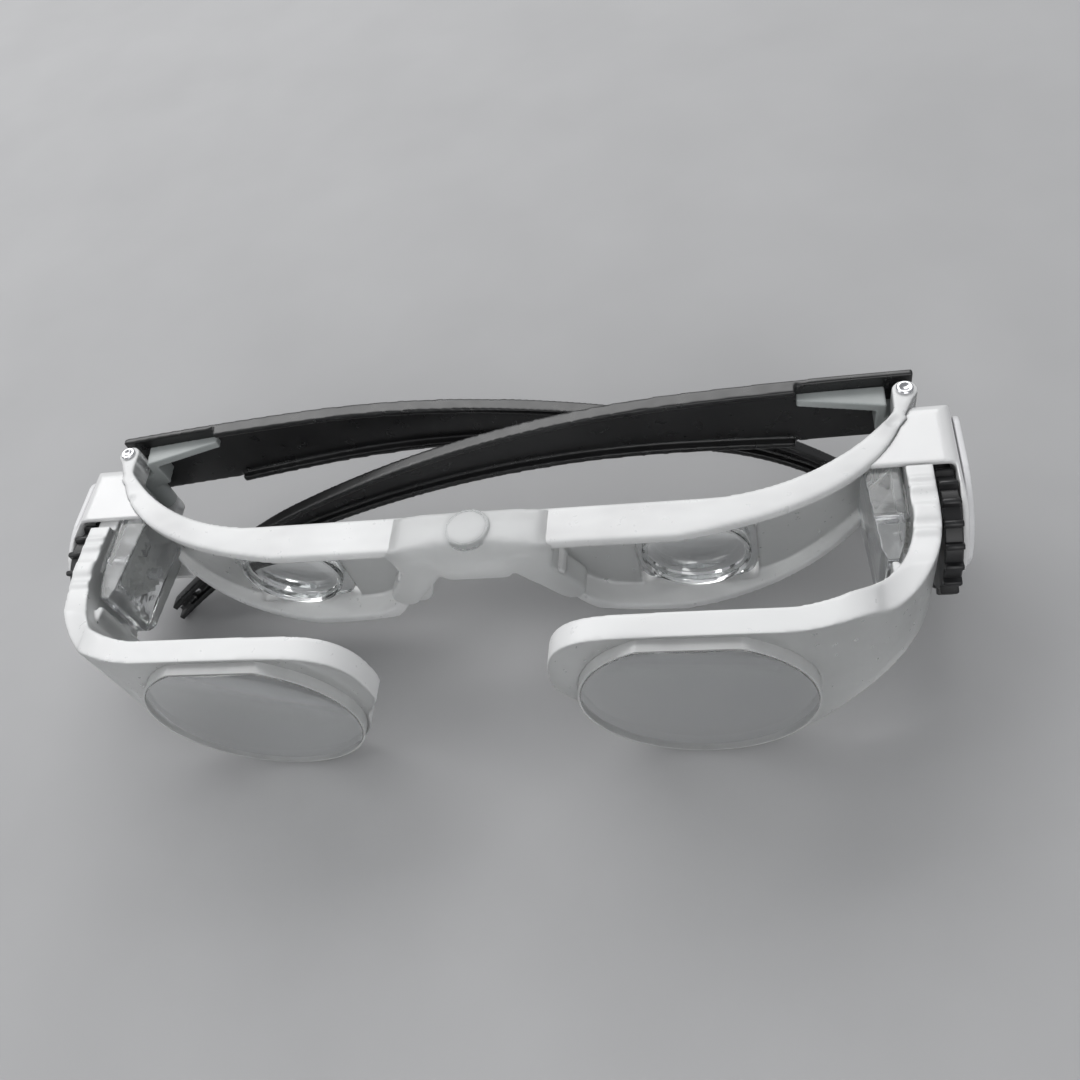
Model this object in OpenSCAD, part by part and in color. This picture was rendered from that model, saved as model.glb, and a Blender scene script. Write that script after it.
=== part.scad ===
// Spectacle magnifier: two Galilean telescopes on a spectacle frame, shown folded.
// X runs across the face, -Y is the front of the object and +Z is up.
// The origin is on the surface that the folded object rests on, below its middle.

/* [Optics] */
// Distance between the two optical axes
eye_spacing = 64; // [61:0.5:67]
// Diameter of each front lens
objective_d = 32; // [28:0.5:32.5]
// Height of the front lens that is left below its flat top, above the axis
objective_flat = 14.6; // [13.5:0.1:15.5]
// How far the front lens stands out of its holder
objective_proud = 1.6; // [0.8:0.1:2.5]
// Height of the front lens's dome
objective_dome = 1.3; // [0.6:0.1:2.5]
// Diameter of each eye lens
ocular_d = 16; // [12:0.5:16]
// Width of the clear plate around each eye lens
ocular_plate_w = 17.6; // [17:0.1:20]
// Distance from the frame's front wall to the front of the lens holders
lens_gap = 21.6; // [20.5:0.1:24]

/* [Front frame] */
// Height of the frame's top above the optical axis
frame_top = 10; // [9.8:0.1:11]
// Depth of the frame's lowest point below the optical axis
frame_drop = 9.9; // [9.5:0.1:11]
// Wall thickness of the upright web
web_t = 2.2; // [1.6:0.1:2.6]
// Thickness of the top and bottom flanges
flange_t = 1.8; // [1.2:0.1:2]
// Depth of the flanges from back to front
flange_depth = 6.2; // [5:0.1:6.6]
// Radius of the frame's backward curve at each side
wrap_r = 34.5; // [33.5:0.1:35.5]
// Distance from the middle plane to where the curve starts
wrap_start = 33.4; // [32.5:0.1:34]
// Radius of the frame's lower edge, seen from the front
lower_edge_r = 65; // [55:1:80]

/* [Nose saddle] */
// Width of the saddle across the bridge
saddle_w = 17; // [16:0.5:18]
// Half the distance between the outer sides of the two nose pads
pad_reach = 15.4; // [14.8:0.1:15.8]
// Depth of the pads' front below the optical axis
pad_drop = 4.9; // [4:0.1:5.5]
// Radius of a pad's rounded edge
pad_r = 2.3; // [2:0.1:2.6]
// Half the width of the hard bridge inside the saddle
bridge_half = 12; // [11:0.5:13]

/* [Lens arms] */
// Thickness of a lens arm
arm_t = 3.6; // [3:0.1:4]
// Outer radius of the arm's bend
arm_bend_r = 21; // [20.5:0.1:21.2]
// Distance from the middle plane to the arm's outer face
arm_outer_x = 64.5; // [64.3:0.1:64.7]
// Height of the lens holder's top above the optical axis
holder_top = 15.5; // [15.5:0.1:16.5]
// Width of the rim below each front lens
holder_rim = 0.5; // [0.4:0.1:1]
// Distance from the middle plane to the holder's nose end
holder_nose_x = 12.4; // [12:0.1:14.4]
// Height of the arm's top at the side, above the optical axis
arm_side_top = 9.8; // [9.3:0.1:10.2]
// Depth of the arm's lower edge at the side, below the optical axis
arm_side_drop = 4.5; // [4:0.1:5]
// How far the right lens is run out in the shown state
right_out = 0; // [0:0.1:5]
// How far the left lens is run out in the shown state
left_out = 1.3; // [0:0.1:5]

/* [Focus drive] */
// Number of teeth on each pinion
pinion_teeth = 12; // [11:1:13]
// Tooth module of the pinion and rack
tooth_module = 0.45; // [0.42:0.01:0.46]
// Diameter of each focus wheel
wheel_d = 18.4; // [17:0.1:18.6]
// Width of each focus wheel
wheel_w = 2.4; // [2:0.1:2.5]
// Number of grip ribs around each focus wheel
wheel_ribs = 18; // [14:1:24]
// Diameter of the wheel's axle
axle_d = 1.8; // [1.4:0.1:2]
// Distance from the frame's front wall back to the wheel's axle
axle_y = 2.5; // [2:0.1:3]
// Radial gap of a part that turns on a pin or axle
running_gap = 0.05; // [0.02:0.01:0.1]
// Gap between the arm's slide and its guide
slide_gap = 0.15; // [0.1:0.05:0.25]

/* [Side covers] */
// Distance from the arm's outer face out to the cover's outer face
cover_reach = 4; // [3.9:0.1:5.5]
// Wall thickness of the cover
cover_t = 0.9; // [0.7:0.1:1]
// Height of the cover's top above the optical axis
cover_top = 9.5; // [9.4:0.1:9.8]
// Depth of the cover's bottom below the optical axis
cover_drop = 9.2; // [8.8:0.1:9.8]
// Distance from the frame's front wall back to the front of the cover's roof
cover_front_y = 7.2; // [6:0.1:8]
// Distance from the frame's front wall back to the cover's back
cover_back_y = 18.3; // [17.8:0.1:18.5]
// Thickness of the plain plate on each cover
badge_t = 0.8; // [0.6:0.1:1.4]
// Diameter of the cover's screw shanks
screw_d = 1.4; // [1.2:0.1:1.6]

/* [Temples] */
// Distance from the arm's outer face in to the hinge pin
hinge_inset = 2; // [1.5:0.1:2.5]
// Distance from the frame's front wall back to the hinge pin
hinge_y = 20.3; // [20:0.1:21]
// Diameter of the hinge pin
hinge_pin_d = 1.4; // [1.2:0.1:1.6]
// Radius of the hinge knuckles
knuckle_r = 1.8; // [1.6:0.05:1.9]
// Length of a temple along its chord
temple_len = 124; // [121:0.5:128]
// Height of a temple at its hinge
temple_h = 13; // [12:0.1:13.6]
// Depth of a temple's channel from outer face to inner edge
temple_depth = 2.6; // [2.4:0.1:3.2]
// Wall thickness of a temple
temple_t = 1.1; // [0.9:0.1:1.2]
// How far a temple bows inwards at its tip
temple_bow = 12; // [10.5:0.5:13]
// How much further a temple's last stretch hooks inwards
temple_hook = 6.5; // [5:0.5:7]
// Angle at which the right temple is folded in the shown state, from straight across
right_fold = 0; // [0:0.5:1]
// Angle at which the left temple is folded in the shown state, from straight across
left_fold = 6.5; // [6.5:0.5:12]

/* [Hidden] */

$fn = 96;
left = -1;
right = 1;
cut = 0.5;
// Longer than any piece, for cutting
reach = 4 * eye_spacing;

hinge_x = arm_outer_x - hinge_inset;
cover_outer_x = arm_outer_x + cover_reach;
eye_x = eye_spacing / 2;
objective_r = objective_d / 2;
ocular_r = ocular_d / 2;
axis_z = objective_r + holder_rim;

// Front frame
web_front = 3.3 - web_t;
web_back = 3.3;
flange_front = web_back - flange_depth;
wrap_y = web_back + wrap_r;
band_end_angle = 52;
side_floor = -5.2;
// Lower corner of the frame beside the nose
lower_nose = [bridge_half + 4.3, 1.3 - frame_drop];
bridge_y = [-0.6, 2.2];
bridge_z = [4.2, 8.4];
// Low round stud on top of the saddle
stud_r = 3.2;
stud_h = 0.4;
// Where the flange's front line meets the hinge lug
lug_front = [hinge_x - 1, hinge_y - 5.7];
boss_y = 14.6;
boss_z = 4.6;
boss_r = 1.7;

// Lens arms
shoulder_x = eye_x + objective_r + 1.5;
bend_y = -lens_gap + arm_bend_r;
bend_x = arm_outer_x - arm_bend_r;
bend_in_r = arm_bend_r - arm_t;
arm_inner_x = arm_outer_x - arm_t;
// Side of the frame's bottom flange, inside the arm
block_x = arm_inner_x - 4.5;
bar_end_y = 9.6;
limb_front = axle_y - 3.7;
// Lower end of the arm that slides in under the cover's roof
tail_y = cover_front_y - 0.4;
tail_top = cover_top - cover_t - 0.3;
stop_x = block_x + 1.2;
stop_t = 1;
stop_y = bend_y - 11.4;

// Slide guide
guide_outer_x = arm_inner_x - 0.7;
guide_inner_x = block_x - 1.4;
guide_front_y = -lens_gap + 14.1;
// Where the guide's outer face, rounded to clear the arm's bend, meets its front
guide_front_angle = asin((bend_y - guide_front_y) / (guide_outer_x - bend_x));
guide_drop = 3.6;
guide_corner_r = 2.6;
guide_top = 8.5;
rail_z = 6.5;
rail_h = 2.2;
rail_neck_h = 1;
rail_out = 2;
rail_front = bend_y + 0.4;

// Focus drive
pitch_r = pinion_teeth * tooth_module / 2;
tooth_pitch = PI * tooth_module;
pinion_tip = pitch_r + 0.9 * tooth_module;
pinion_root = pitch_r - 1.05 * tooth_module;
base_r = pitch_r * cos(20);
rack_tip = pitch_r - 0.65 * tooth_module;
rack_root = pitch_r + 1.3 * tooth_module;
rack_seat = rack_root + 1.3;
backlash = 0.08;
hub_r = 2;
wheel_in_x = arm_outer_x + 0.5;
wheel_r = wheel_d / 2;
rib_depth = 0.9;
rib_w = 1;

// Covers
badge_inset = 1.2;

// Temples
temple_drop_from = 32;
temple_head = frame_top + 0.2;
tip_h = 4.4;
// The tips come down to the surface that the lens holders rest on
temple_fall = temple_head + axis_z - tip_h;
// Gap between the hinge knuckles and the temple's wall
web_gap = 0.8;
slot_end = 15.5;
hook_from = 0.8 * temple_len;
// Strap hole near a temple's tip
strap_hole_d = 1.6;
strap_hole_s = temple_len - 3.4;
upper_ear = [5.6, frame_top];
lower_ear = [-6.2, -3.4];
ear_gap = 0.25;
leaf_tip = 1.4;
leaf_t = 1.4;
leaf_top = 8.2;
leaf_from = 2.4;

// Middle of the object's depth, between the front lens that is out most and the left temple's back
foremost_y = -lens_gap - objective_proud - objective_dome - max(left_out, right_out);
back_s = temple_len * temple_len * tan(left_fold) / (2 * temple_bow);
back_y = hinge_y + temple_y(back_s) * cos(left_fold) + back_s * sin(left_fold);
middle_y = (foremost_y + back_y) / 2;

// Points on a curve that leaves a towards b and arrives at c
function curve(a, b, c, n = 8) =
  [for (i = [0:n]) let (t = i / n) (1 - t) * (1 - t) * a + 2 * t * (1 - t) * b + t * t * c];

// Points on an arc about c
function arc(c, r, from, to, n = 16) =
  [for (i = [0:n]) let (a = from + (to - from) * i / n) c + r * [cos(a), sin(a)]];

// Puts a shape drawn about the optical axes and the frame's front wall in its place
module place() translate([0, -middle_y, axis_z]) children();

// Draws a right-hand shape on the given side
module on_side(side) {
  if (side == left) mirror([1, 0, 0]) children();
  else children();
}

// Extrudes an outline of X and Z along Y
module along_y(from, to) translate([0, to, 0]) rotate([90, 0, 0]) linear_extrude(to - from) children();

// Extrudes an outline of Y and Z along X
module along_x(from, to)
  translate([from, 0, 0]) rotate([90, 0, 90]) linear_extrude(to - from) children();

// Cylinder along X about a point in Y and Z
module pin_x(from, to, r, y, z) translate([from, y, z]) rotate([0, 90, 0]) cylinder(h = to - from, r = r);

// Cylinder along Y about a point in X and Z
module pin_y(from, to, r, x, z) translate([x, from, z]) rotate([-90, 0, 0]) cylinder(h = to - from, r = r);

// Front frame

// Right half of the frame in plan, from a front line to a back line
module band_plan(front, front_r, back, back_r) {
  centre = [wrap_start, wrap_y];
  end = -90 + band_end_angle;
  polygon(concat(
    [[0, front]], arc(centre, front_r, -90, end, 30),
    arc(centre, back_r, end, -90, 30), [[0, back]]
  ));
}

// Right half of the frame seen from the front
module frame_face(inset = 0) {
  centre = [eye_x - 3, lower_edge_r - frame_drop];
  r = lower_edge_r - inset;
  nose_x = bridge_half - 1 + inset;
  polygon(concat(
    [[nose_x, frame_top]],
    curve([nose_x, 3], [nose_x + 1, -5], [lower_nose[0] + inset, lower_nose[1] + inset], 12),
    [for (a = arc(centre, r, -99, -66, 26)) if (a[0] > lower_nose[0] + 0.2 + inset && a[0] < block_x) a],
    [[block_x, centre[1] - sqrt(r * r - pow(block_x - centre[0], 2))]],
    [[block_x, side_floor + inset], [hinge_x, side_floor + inset], [hinge_x, frame_top]]
  ));
}

// Hinge lug in plan
module lug_plan() {
  polygon(concat(
    arc([wrap_start, wrap_y], wrap_r, -90 + band_end_angle - 5, -90 + band_end_angle, 2),
    [[hinge_x - knuckle_r, hinge_y], [hinge_x + knuckle_r, hinge_y], lug_front]
  ));
  translate([hinge_x, hinge_y]) circle(r = knuckle_r);
}

// Right half of a flange in plan, from its front line to the back of the web
module flange_plan() {
  centre = [wrap_start, wrap_y];
  bend = [hinge_x - 6.5, flange_front + 3.7];
  polygon(concat(
    [[0, flange_front]], curve([wrap_start - 3.4, flange_front], bend, lug_front, 26),
    arc(centre, wrap_r, -90 + band_end_angle, -90, 30), [[0, web_back]]
  ));
  lug_plan();
}

// Slab of the frame's plan at a height
module slab(low, high) translate([0, 0, low]) linear_extrude(high - low) children();

module bottom_flange() intersection() {
  slab(-axis_z, axis_z) flange_plan();
  along_y(flange_front - cut, hinge_y) difference() {
    frame_face();
    frame_face(flange_t);
    translate([0, 2.9]) square(reach);
    translate([block_x, -reach / 2]) square(reach);
  }
}

module frame_half() {
  difference() {
    union() {
      // Upright web
      intersection() {
        slab(-axis_z, 2 * axis_z) band_plan(web_front, wrap_r + web_t, web_back, wrap_r);
        along_y(flange_front - cut, hinge_y) frame_face();
      }
      // Hard bridge inside the saddle
      translate([0, bridge_y[0], bridge_z[0]])
        cube([bridge_half - 0.6, bridge_y[1] - bridge_y[0], bridge_z[1] - bridge_z[0]]);
      // Top flange with the upper hinge ear
      slab(frame_top - flange_t, frame_top) difference() {
        flange_plan();
        translate([-1, -20]) square([bridge_half - 1, 40]);
      }
      slab(upper_ear[0], upper_ear[1]) lug_plan();
      slab(lower_ear[0], lower_ear[1]) lug_plan();
      bottom_flange();
      // Screw bosses behind the side cover
      for (z = [-boss_z, boss_z]) pin_x(hinge_x - 1.6, cover_outer_x - cover_t, boss_r, boss_y, z);
    }
    // Window of the eye lens
    translate([eye_x - ocular_plate_w / 2, web_front - cut, -ocular_r])
      cube([ocular_plate_w, web_t + cut + 3, 2 * ocular_r]);
    // Hinge pin bore
    translate([hinge_x, hinge_y, -axis_z]) cylinder(h = 2 * axis_z, d = hinge_pin_d);
    // Screw bores
    for (z = [-boss_z, boss_z]) pin_x(hinge_x, cover_outer_x, screw_d / 2, boss_y, z);
  }
}

module front_frame() {
  color([0.93, 0.93, 0.92]) place() for (side = [left, right]) on_side(side) frame_half();
}

module ocular_lens(side) {
  color([0.86, 0.9, 0.9, 0.5]) place() on_side(side) difference() {
    union() {
      translate([eye_x - ocular_plate_w / 2, web_front + 0.4, -ocular_r])
        cube([ocular_plate_w, web_t - 0.8, 2 * ocular_r]);
      pin_y(web_front - 0.8, web_back + 0.6, ocular_r, eye_x, 0);
    }
    // Hollow faces of the diverging lens
    translate([eye_x, web_front - 0.8 - 20 + 1, 0]) sphere(r = 20);
    translate([eye_x, web_back + 0.6 + 24 - 1, 0]) sphere(r = 24);
  }
}

// Nose saddle

module nose_saddle() {
  front = flange_front - 0.5;
  top = frame_top + 0.7;
  back = web_back;
  shoulder_r = 2;
  pad = [pad_reach - pad_r, pad_r - pad_drop];
  color([0.9, 0.91, 0.9, 0.8]) place() difference() {
    union() {
      // Plateau over the bridge
      hull() for (side = [left, right]) {
        pin_y(front + 1, back, shoulder_r, side * (saddle_w / 2 - shoulder_r), top - shoulder_r);
        pin_y(front, back, 1.2, side * 4.2, 3.2);
      }
      translate([0, 0, top - cut]) cylinder(h = cut + stud_h, r = stud_r);
      for (side = [left, right]) on_side(side) {
        // Shoulder over the frame's inner end
        hull() {
          pin_y(front + 0.6, back, shoulder_r, saddle_w / 2 - shoulder_r, top - shoulder_r);
          pin_y(front + 0.2, back, 1, bridge_half - 0.2, frame_top - 0.9);
          pin_y(front, back, shoulder_r, 9.4, 4);
        }
        // Leg and pad
        hull() {
          pin_y(front, 1, 2.8, 8, 4.8);
          pin_y(front + 0.2, 1, pad_r, pad[0], pad[1]);
        }
        hull() {
          pin_y(0, back + 1.2, pad_r, 9.4, 3);
          pin_y(-1, back + 3, pad_r, pad[0] - 0.8, pad[1] - 2.6);
        }
      }
    }
    for (side = [left, right]) on_side(side) frame_half();
  }
}

// Slide guides

// Wall of the frame that the guide seats against
module frame_wall_volume()
  translate([0, 0, -axis_z]) linear_extrude(3 * axis_z)
    band_plan(web_front, wrap_r + web_t, web_back + 30, wrap_r - 30);

// The guide seen from the side, with a rounded lower front corner
module guide_side()
  polygon(concat(
    [[hinge_y, -guide_drop], [hinge_y, guide_top], [guide_front_y, guide_top]],
    curve([guide_front_y, guide_corner_r - guide_drop], [guide_front_y, -guide_drop],
      [guide_front_y + guide_corner_r, -guide_drop], 8)
  ));

module slide_guide(side) {
  color([0.9, 0.93, 0.93, 0.6]) place() on_side(side) difference() {
    union() {
      intersection() {
        along_x(0, reach) guide_side();
        slab(-guide_drop, guide_top) polygon([
          [guide_inner_x, hinge_y - 6], [block_x + 0.2, guide_front_y + 1.6], [block_x + 0.8, guide_front_y],
          each arc([bend_x, bend_y], guide_outer_x - bend_x, -guide_front_angle, 0, 8),
          [guide_outer_x, hinge_y - 6]
        ]);
      }
      // Rail that the arm slides on
      translate([guide_outer_x - cut, rail_front, rail_z - rail_neck_h / 2])
        cube([rail_out, bar_end_y - rail_front, rail_neck_h]);
      translate([guide_outer_x + rail_out / 2, rail_front, rail_z - rail_h / 2])
        cube([rail_out / 2, bar_end_y - rail_front, rail_h]);
    }
    frame_wall_volume();
    bottom_flange();
    slab(frame_top - flange_t, 2 * axis_z) flange_plan();
    pin_x(guide_outer_x - 3, guide_outer_x + 1, axle_d / 2, axle_y, 0);
  }
}

// Lens arms

// Right lens holder and arm seen from the front
module arm_face() {
  polygon(concat(
    arc([eye_x, 0], objective_r + holder_rim, -60, -170, 22),
    curve([holder_nose_x + 0.4, 2], [holder_nose_x - 0.5, holder_top - 1.8],
      [eye_x - 12, holder_top - 0.45], 18),
    curve([eye_x - 12, holder_top - 0.45], [eye_x - 9.4, holder_top], [eye_x - 4, holder_top], 8),
    // Shoulder where the holder's top falls to the arm
    curve([shoulder_x, holder_top], [shoulder_x + 3.6, holder_top], [shoulder_x + 5.7, holder_top - 2.3], 10),
    curve([shoulder_x + 5.7, holder_top - 2.3], [shoulder_x + 7.7, arm_side_top + 1.2],
      [arm_inner_x, arm_side_top + 1.1], 10),
    [[reach, arm_side_top + 1.1], [reach, -arm_side_drop]],
    curve([arm_inner_x - 0.9, -arm_side_drop], [arm_inner_x - 6.9, -arm_side_drop - 0.5],
      [eye_x + objective_r - 1, -0.71 * objective_r], 14)
  ));
}

// The same arm seen from the side
module arm_side() {
  fall = [-lens_gap + 5.4, -lens_gap + 11.6, -lens_gap + 18];
  middle = arm_side_top + 1.2;
  polygon(concat(
    [[-reach, -reach], [-reach, holder_top]],
    curve([fall[0], holder_top], [fall[0] + 2.8, middle + 1.4], [fall[1], middle], 10),
    curve([fall[1], middle], [fall[1] + 3, arm_side_top + 0.1], [fall[2], arm_side_top], 10),
    [[tail_y, arm_side_top], [tail_y, tail_top], [reach, tail_top], [reach, -reach]]
  ));
}

module arm_plan() {
  polygon(concat(
    [[0, -lens_gap]], arc([bend_x, bend_y], arm_bend_r, -90, 0, 32),
    [[arm_outer_x, bar_end_y], [arm_inner_x, bar_end_y]],
    arc([bend_x, bend_y], bend_in_r, 0, -90, 32), [[0, -lens_gap + arm_t]]
  ));
}

// Flat-topped round of the front lens
module lens_round(from, to, r)
  intersection() {
    pin_y(from, to, r, eye_x, 0);
    translate([0, from - cut, objective_flat - reach]) cube([reach, to - from + 2 * cut, reach]);
  }

module lens_arm(side, out) {
  color([0.93, 0.93, 0.92]) place() translate([0, -out, 0]) on_side(side) difference() {
    union() {
      intersection() {
        translate([0, 0, -axis_z]) linear_extrude(3 * axis_z) arm_plan();
        along_y(-reach, reach) arm_face();
        along_x(0, reach) arm_side();
      }
      // Thin stop that meets the guide when the lens is run in
      translate([stop_x, stop_y, -guide_drop])
        cube([stop_t, guide_front_y - slide_gap - stop_y, guide_top + guide_drop]);
    }
    lens_round(-lens_gap - cut, -lens_gap + arm_t + cut, objective_r);
    // Space for the pinion and the rack
    translate([0, limb_front, rack_seat - reach]) cube(reach);
    // Groove for the guide's rail
    translate([arm_inner_x - 1, rail_front - 0.5, rail_z - rail_neck_h / 2 - slide_gap])
      cube([guide_outer_x + rail_out / 2 - slide_gap - arm_inner_x + 1.1, 40, rail_neck_h + 2 * slide_gap]);
    translate([guide_outer_x + rail_out / 2 - slide_gap, rail_front - 0.5, rail_z - rail_h / 2 - slide_gap])
      cube([rail_out / 2 - cut + 2 * slide_gap + cut, 40, rail_h + 2 * slide_gap]);
  }
}

module objective_lens(side, out) {
  back = -lens_gap + arm_t - 0.3;
  front = -lens_gap - objective_proud;
  dome_r = (objective_r * objective_r + objective_dome * objective_dome) / (2 * objective_dome);
  color([0.86, 0.9, 0.9, 0.45]) place() translate([0, -out, 0]) on_side(side) union() {
    lens_round(front, back, objective_r);
    intersection() {
      lens_round(front - objective_dome - 1, front + 0.2, objective_r);
      translate([eye_x, front + dome_r - objective_dome, 0]) sphere(r = dome_r, $fn = 200);
    }
  }
}

// Focus drive

module rack_tooth() {
  half_tip = tooth_pitch / 4 - backlash / 2 - (pitch_r - rack_tip) * tan(20);
  half_root = tooth_pitch / 4 - backlash / 2 + (rack_root - pitch_r) * tan(20);
  polygon([
    [-half_tip, rack_tip], [half_tip, rack_tip],
    [half_root, rack_root + 0.05], [-half_root, rack_root + 0.05]
  ]);
}

module focus_rack(side, out) {
  // The rack has a gap above the axle when the lens is run right in
  first = ceil((limb_front - axle_y) / tooth_pitch + 0.3);
  last = floor((bar_end_y - axle_y) / tooth_pitch - 0.8);
  color([0.2, 0.2, 0.21]) place() translate([0, -out, 0]) on_side(side)
    along_x(arm_inner_x + 0.3, arm_outer_x - 0.3) union() {
      translate([limb_front, rack_root]) square([bar_end_y - limb_front, rack_seat - rack_root]);
      for (i = [first:last]) translate([axle_y + (i + 0.5) * tooth_pitch, 0]) rack_tooth();
    }
}

// Angle by which an involute has turned where it reaches a radius
function involute_angle(r) = sqrt(r * r / (base_r * base_r) - 1) * 180 / PI - acos(base_r / r);

// Outline of one pinion tooth about the Z axis of the drawing
module pinion_tooth() {
  half = 90 / pinion_teeth - backlash / 2 / pitch_r * 180 / PI + involute_angle(pitch_r);
  steps = [for (i = [0:5]) base_r + (pinion_tip - base_r) * i / 5];
  polygon(concat(
    [[0, 0]],
    [for (r = steps) r * [sin(-half + involute_angle(r)), cos(-half + involute_angle(r))]],
    [for (i = [5:-1:0]) steps[i] * [sin(half - involute_angle(steps[i])), cos(half - involute_angle(steps[i]))]]
  ));
}

module focus_pinion(side, out) {
  turn = out / pitch_r * 180 / PI;
  color([0.85, 0.85, 0.83]) place() on_side(side) difference() {
    translate([0, axle_y, 0]) union() {
      along_x(guide_outer_x + 0.3, arm_outer_x + 0.2) rotate(turn) union() {
        circle(r = pinion_root);
        for (i = [0:pinion_teeth - 1]) rotate(i * 360 / pinion_teeth) pinion_tooth();
      }
      pin_x(arm_outer_x, wheel_in_x + wheel_w, hub_r, 0, 0);
    }
    pin_x(guide_outer_x, cover_outer_x, axle_d / 2 + running_gap, axle_y, 0);
  }
}

// Ribbed outline of the focus wheel
module wheel_outline() difference() {
  union() {
    circle(r = wheel_r - rib_depth);
    for (i = [0:wheel_ribs - 1]) rotate(i * 360 / wheel_ribs)
      translate([-rib_w / 2, wheel_r - 2 * rib_depth]) square([rib_w, 2 * rib_depth]);
  }
  circle(r = hub_r);
}

module focus_wheel(side) {
  color([0.06, 0.06, 0.065]) place() on_side(side) difference() {
    translate([0, axle_y, 0]) along_x(wheel_in_x, wheel_in_x + wheel_w) wheel_outline();
    // Dished outer face
    pin_x(wheel_in_x + wheel_w - 0.6, wheel_in_x + wheel_w + 1, wheel_r - 2.6, axle_y, 0);
  }
}

module wheel_axle(side) {
  color([0.7, 0.7, 0.72]) place() on_side(side)
    pin_x(guide_outer_x - 3, cover_outer_x, axle_d / 2, axle_y, 0);
}

// Side covers

// Outer wall of the cover seen from the side, drawn smaller by the inset
module cover_side(inset = 0) {
  front = axle_y - 6.2 + inset;
  back = cover_back_y - inset;
  top = cover_top - inset;
  low = -cover_drop + inset;
  polygon(concat(
    curve([back, top - 2.5], [back, top], [back - 2.5, top], 6),
    curve([cover_front_y, top], [front + 1, top - 1], [front, 0], 10),
    curve([front, 0], [front + 1, low + 1], [cover_front_y, low], 10),
    curve([back - 2.5, low], [back, low], [back, low + 2.5], 6)
  ));
}

// Roof, back and floor of the cover in cross-section, seen from the front
module cover_section(inset = 0) {
  corner = inset > 0 ? 1.2 : 2.5;
  out = cover_outer_x - inset;
  top = cover_top - inset;
  low = -cover_drop + inset;
  polygon(concat(
    [[hinge_x - 6, low], [hinge_x - 6, top]],
    curve([out - corner, top], [out, top], [out, top - corner], 6),
    curve([out, low + corner], [out, low], [out - corner, low], 6)
  ));
}

module side_cover(side) {
  color([0.96, 0.96, 0.96]) place() on_side(side) difference() {
    intersection() {
      along_y(-20, cover_back_y) cover_section();
      along_x(0, cover_outer_x) cover_side();
    }
    // Hollow of the shell
    intersection() {
      along_y(-20, cover_back_y - cover_t) cover_section(cover_t);
      along_x(0, cover_outer_x) cover_side(cover_t - 0.01);
    }
    // Open front, in which the wheel shows
    translate([0, cover_front_y - reach, -reach / 2]) cube([cover_outer_x - cover_t, reach, reach]);
    // Side towards the frame
    slab(-axis_z, 2 * axis_z) union() {
      flange_plan();
      band_plan(flange_front, wrap_r + web_t, web_back + 30, wrap_r - 30);
      translate([0, hinge_y - 6]) square([hinge_x - knuckle_r, 20]);
      translate([0, -reach]) square([block_x, 2 * reach]);
    }
    for (z = [-boss_z, boss_z]) pin_x(cover_outer_x - 2, cover_outer_x + 1, screw_d / 2, boss_y, z);
    pin_x(cover_outer_x - 2, cover_outer_x + 1, axle_d / 2, axle_y, 0);
  }
}

module badge_plate(side) {
  color([0.94, 0.94, 0.94]) place() on_side(side)
    along_x(cover_outer_x, cover_outer_x + badge_t) cover_side(badge_inset);
}

module cover_screws() {
  color([0.75, 0.75, 0.77]) place() for (side = [left, right]) on_side(side)
    for (z = [-boss_z, boss_z]) pin_x(hinge_x, cover_outer_x, screw_d / 2, boss_y, z);
}

// Temples

// Outer line of a temple in plan, at a distance from the hinge
function temple_y(s) =
  knuckle_r + web_gap + temple_t - temple_bow * pow(s / temple_len, 2)
  - temple_hook * pow(max(0, s - hook_from) / (temple_len - hook_from), 2);

// Top edge of a temple, at a distance from the hinge
function temple_top(s) =
  temple_head - temple_fall * pow(max(0, s - temple_drop_from) / (temple_len - temple_drop_from), 2);

// Height of a temple, at a distance from the hinge
function temple_height(s) =
  tip_h + (temple_h - tip_h) * pow(max(0, 1 - max(s - slot_end, 0) / (temple_len - slot_end)), 1.2);

module temple_plan(from, near, far) {
  steps = [for (i = [0:36]) from + (temple_len - from) * i / 36];
  polygon(concat(
    [for (s = steps) [s, temple_y(s) - near]],
    [for (i = [36:-1:0]) [steps[i], temple_y(steps[i]) - far]]
  ));
}

module temple_face(from, inset) {
  steps = [for (i = [0:36]) from + (temple_len - inset - from) * i / 36];
  polygon(concat(
    [for (s = steps) [s, temple_top(s) - inset]],
    [for (i = [36:-1:0]) [steps[i], temple_top(steps[i]) - temple_height(steps[i]) + inset]]
  ));
}

// Sets a shape drawn along a temple at its hinge and turns it to its folded angle
module at_hinge(side, fold)
  on_side(side) translate([hinge_x, hinge_y, 0]) rotate([0, 0, -fold]) mirror([1, 0, 0]) children();

module temple(side, fold) {
  color([0.07, 0.07, 0.075]) place() at_hinge(side, fold) difference() {
    intersection() {
      translate([0, 0, -axis_z * 2]) linear_extrude(4 * axis_z) temple_plan(-1.6, 0, temple_depth);
      along_y(-30, 10) temple_face(-1.6, 0);
    }
    // Hollow of the channel
    intersection() {
      translate([0, 0, -axis_z * 2]) linear_extrude(4 * axis_z)
        temple_plan(-2, temple_t, temple_depth + 2);
      along_y(-30, 10) temple_face(-2, temple_t);
    }
    // Flanges are left off beside the hinge
    translate([slot_end - reach, knuckle_r + web_gap - reach, -reach / 2]) cube(reach);
    pin_y(-30, 10, strap_hole_d / 2, strap_hole_s, temple_top(strap_hole_s) - temple_height(strap_hole_s) / 2);
  }
}

// The insert's leaf in plan, between two distances from the hinge
module leaf_plan(from, to) {
  web_in = knuckle_r + web_gap;
  intersection() {
    polygon([[0, -knuckle_r], [0, web_in], [slot_end, web_in], [slot_end, web_in - leaf_tip]]);
    translate([from, -reach / 2]) square([to - from, reach]);
  }
}

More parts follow.
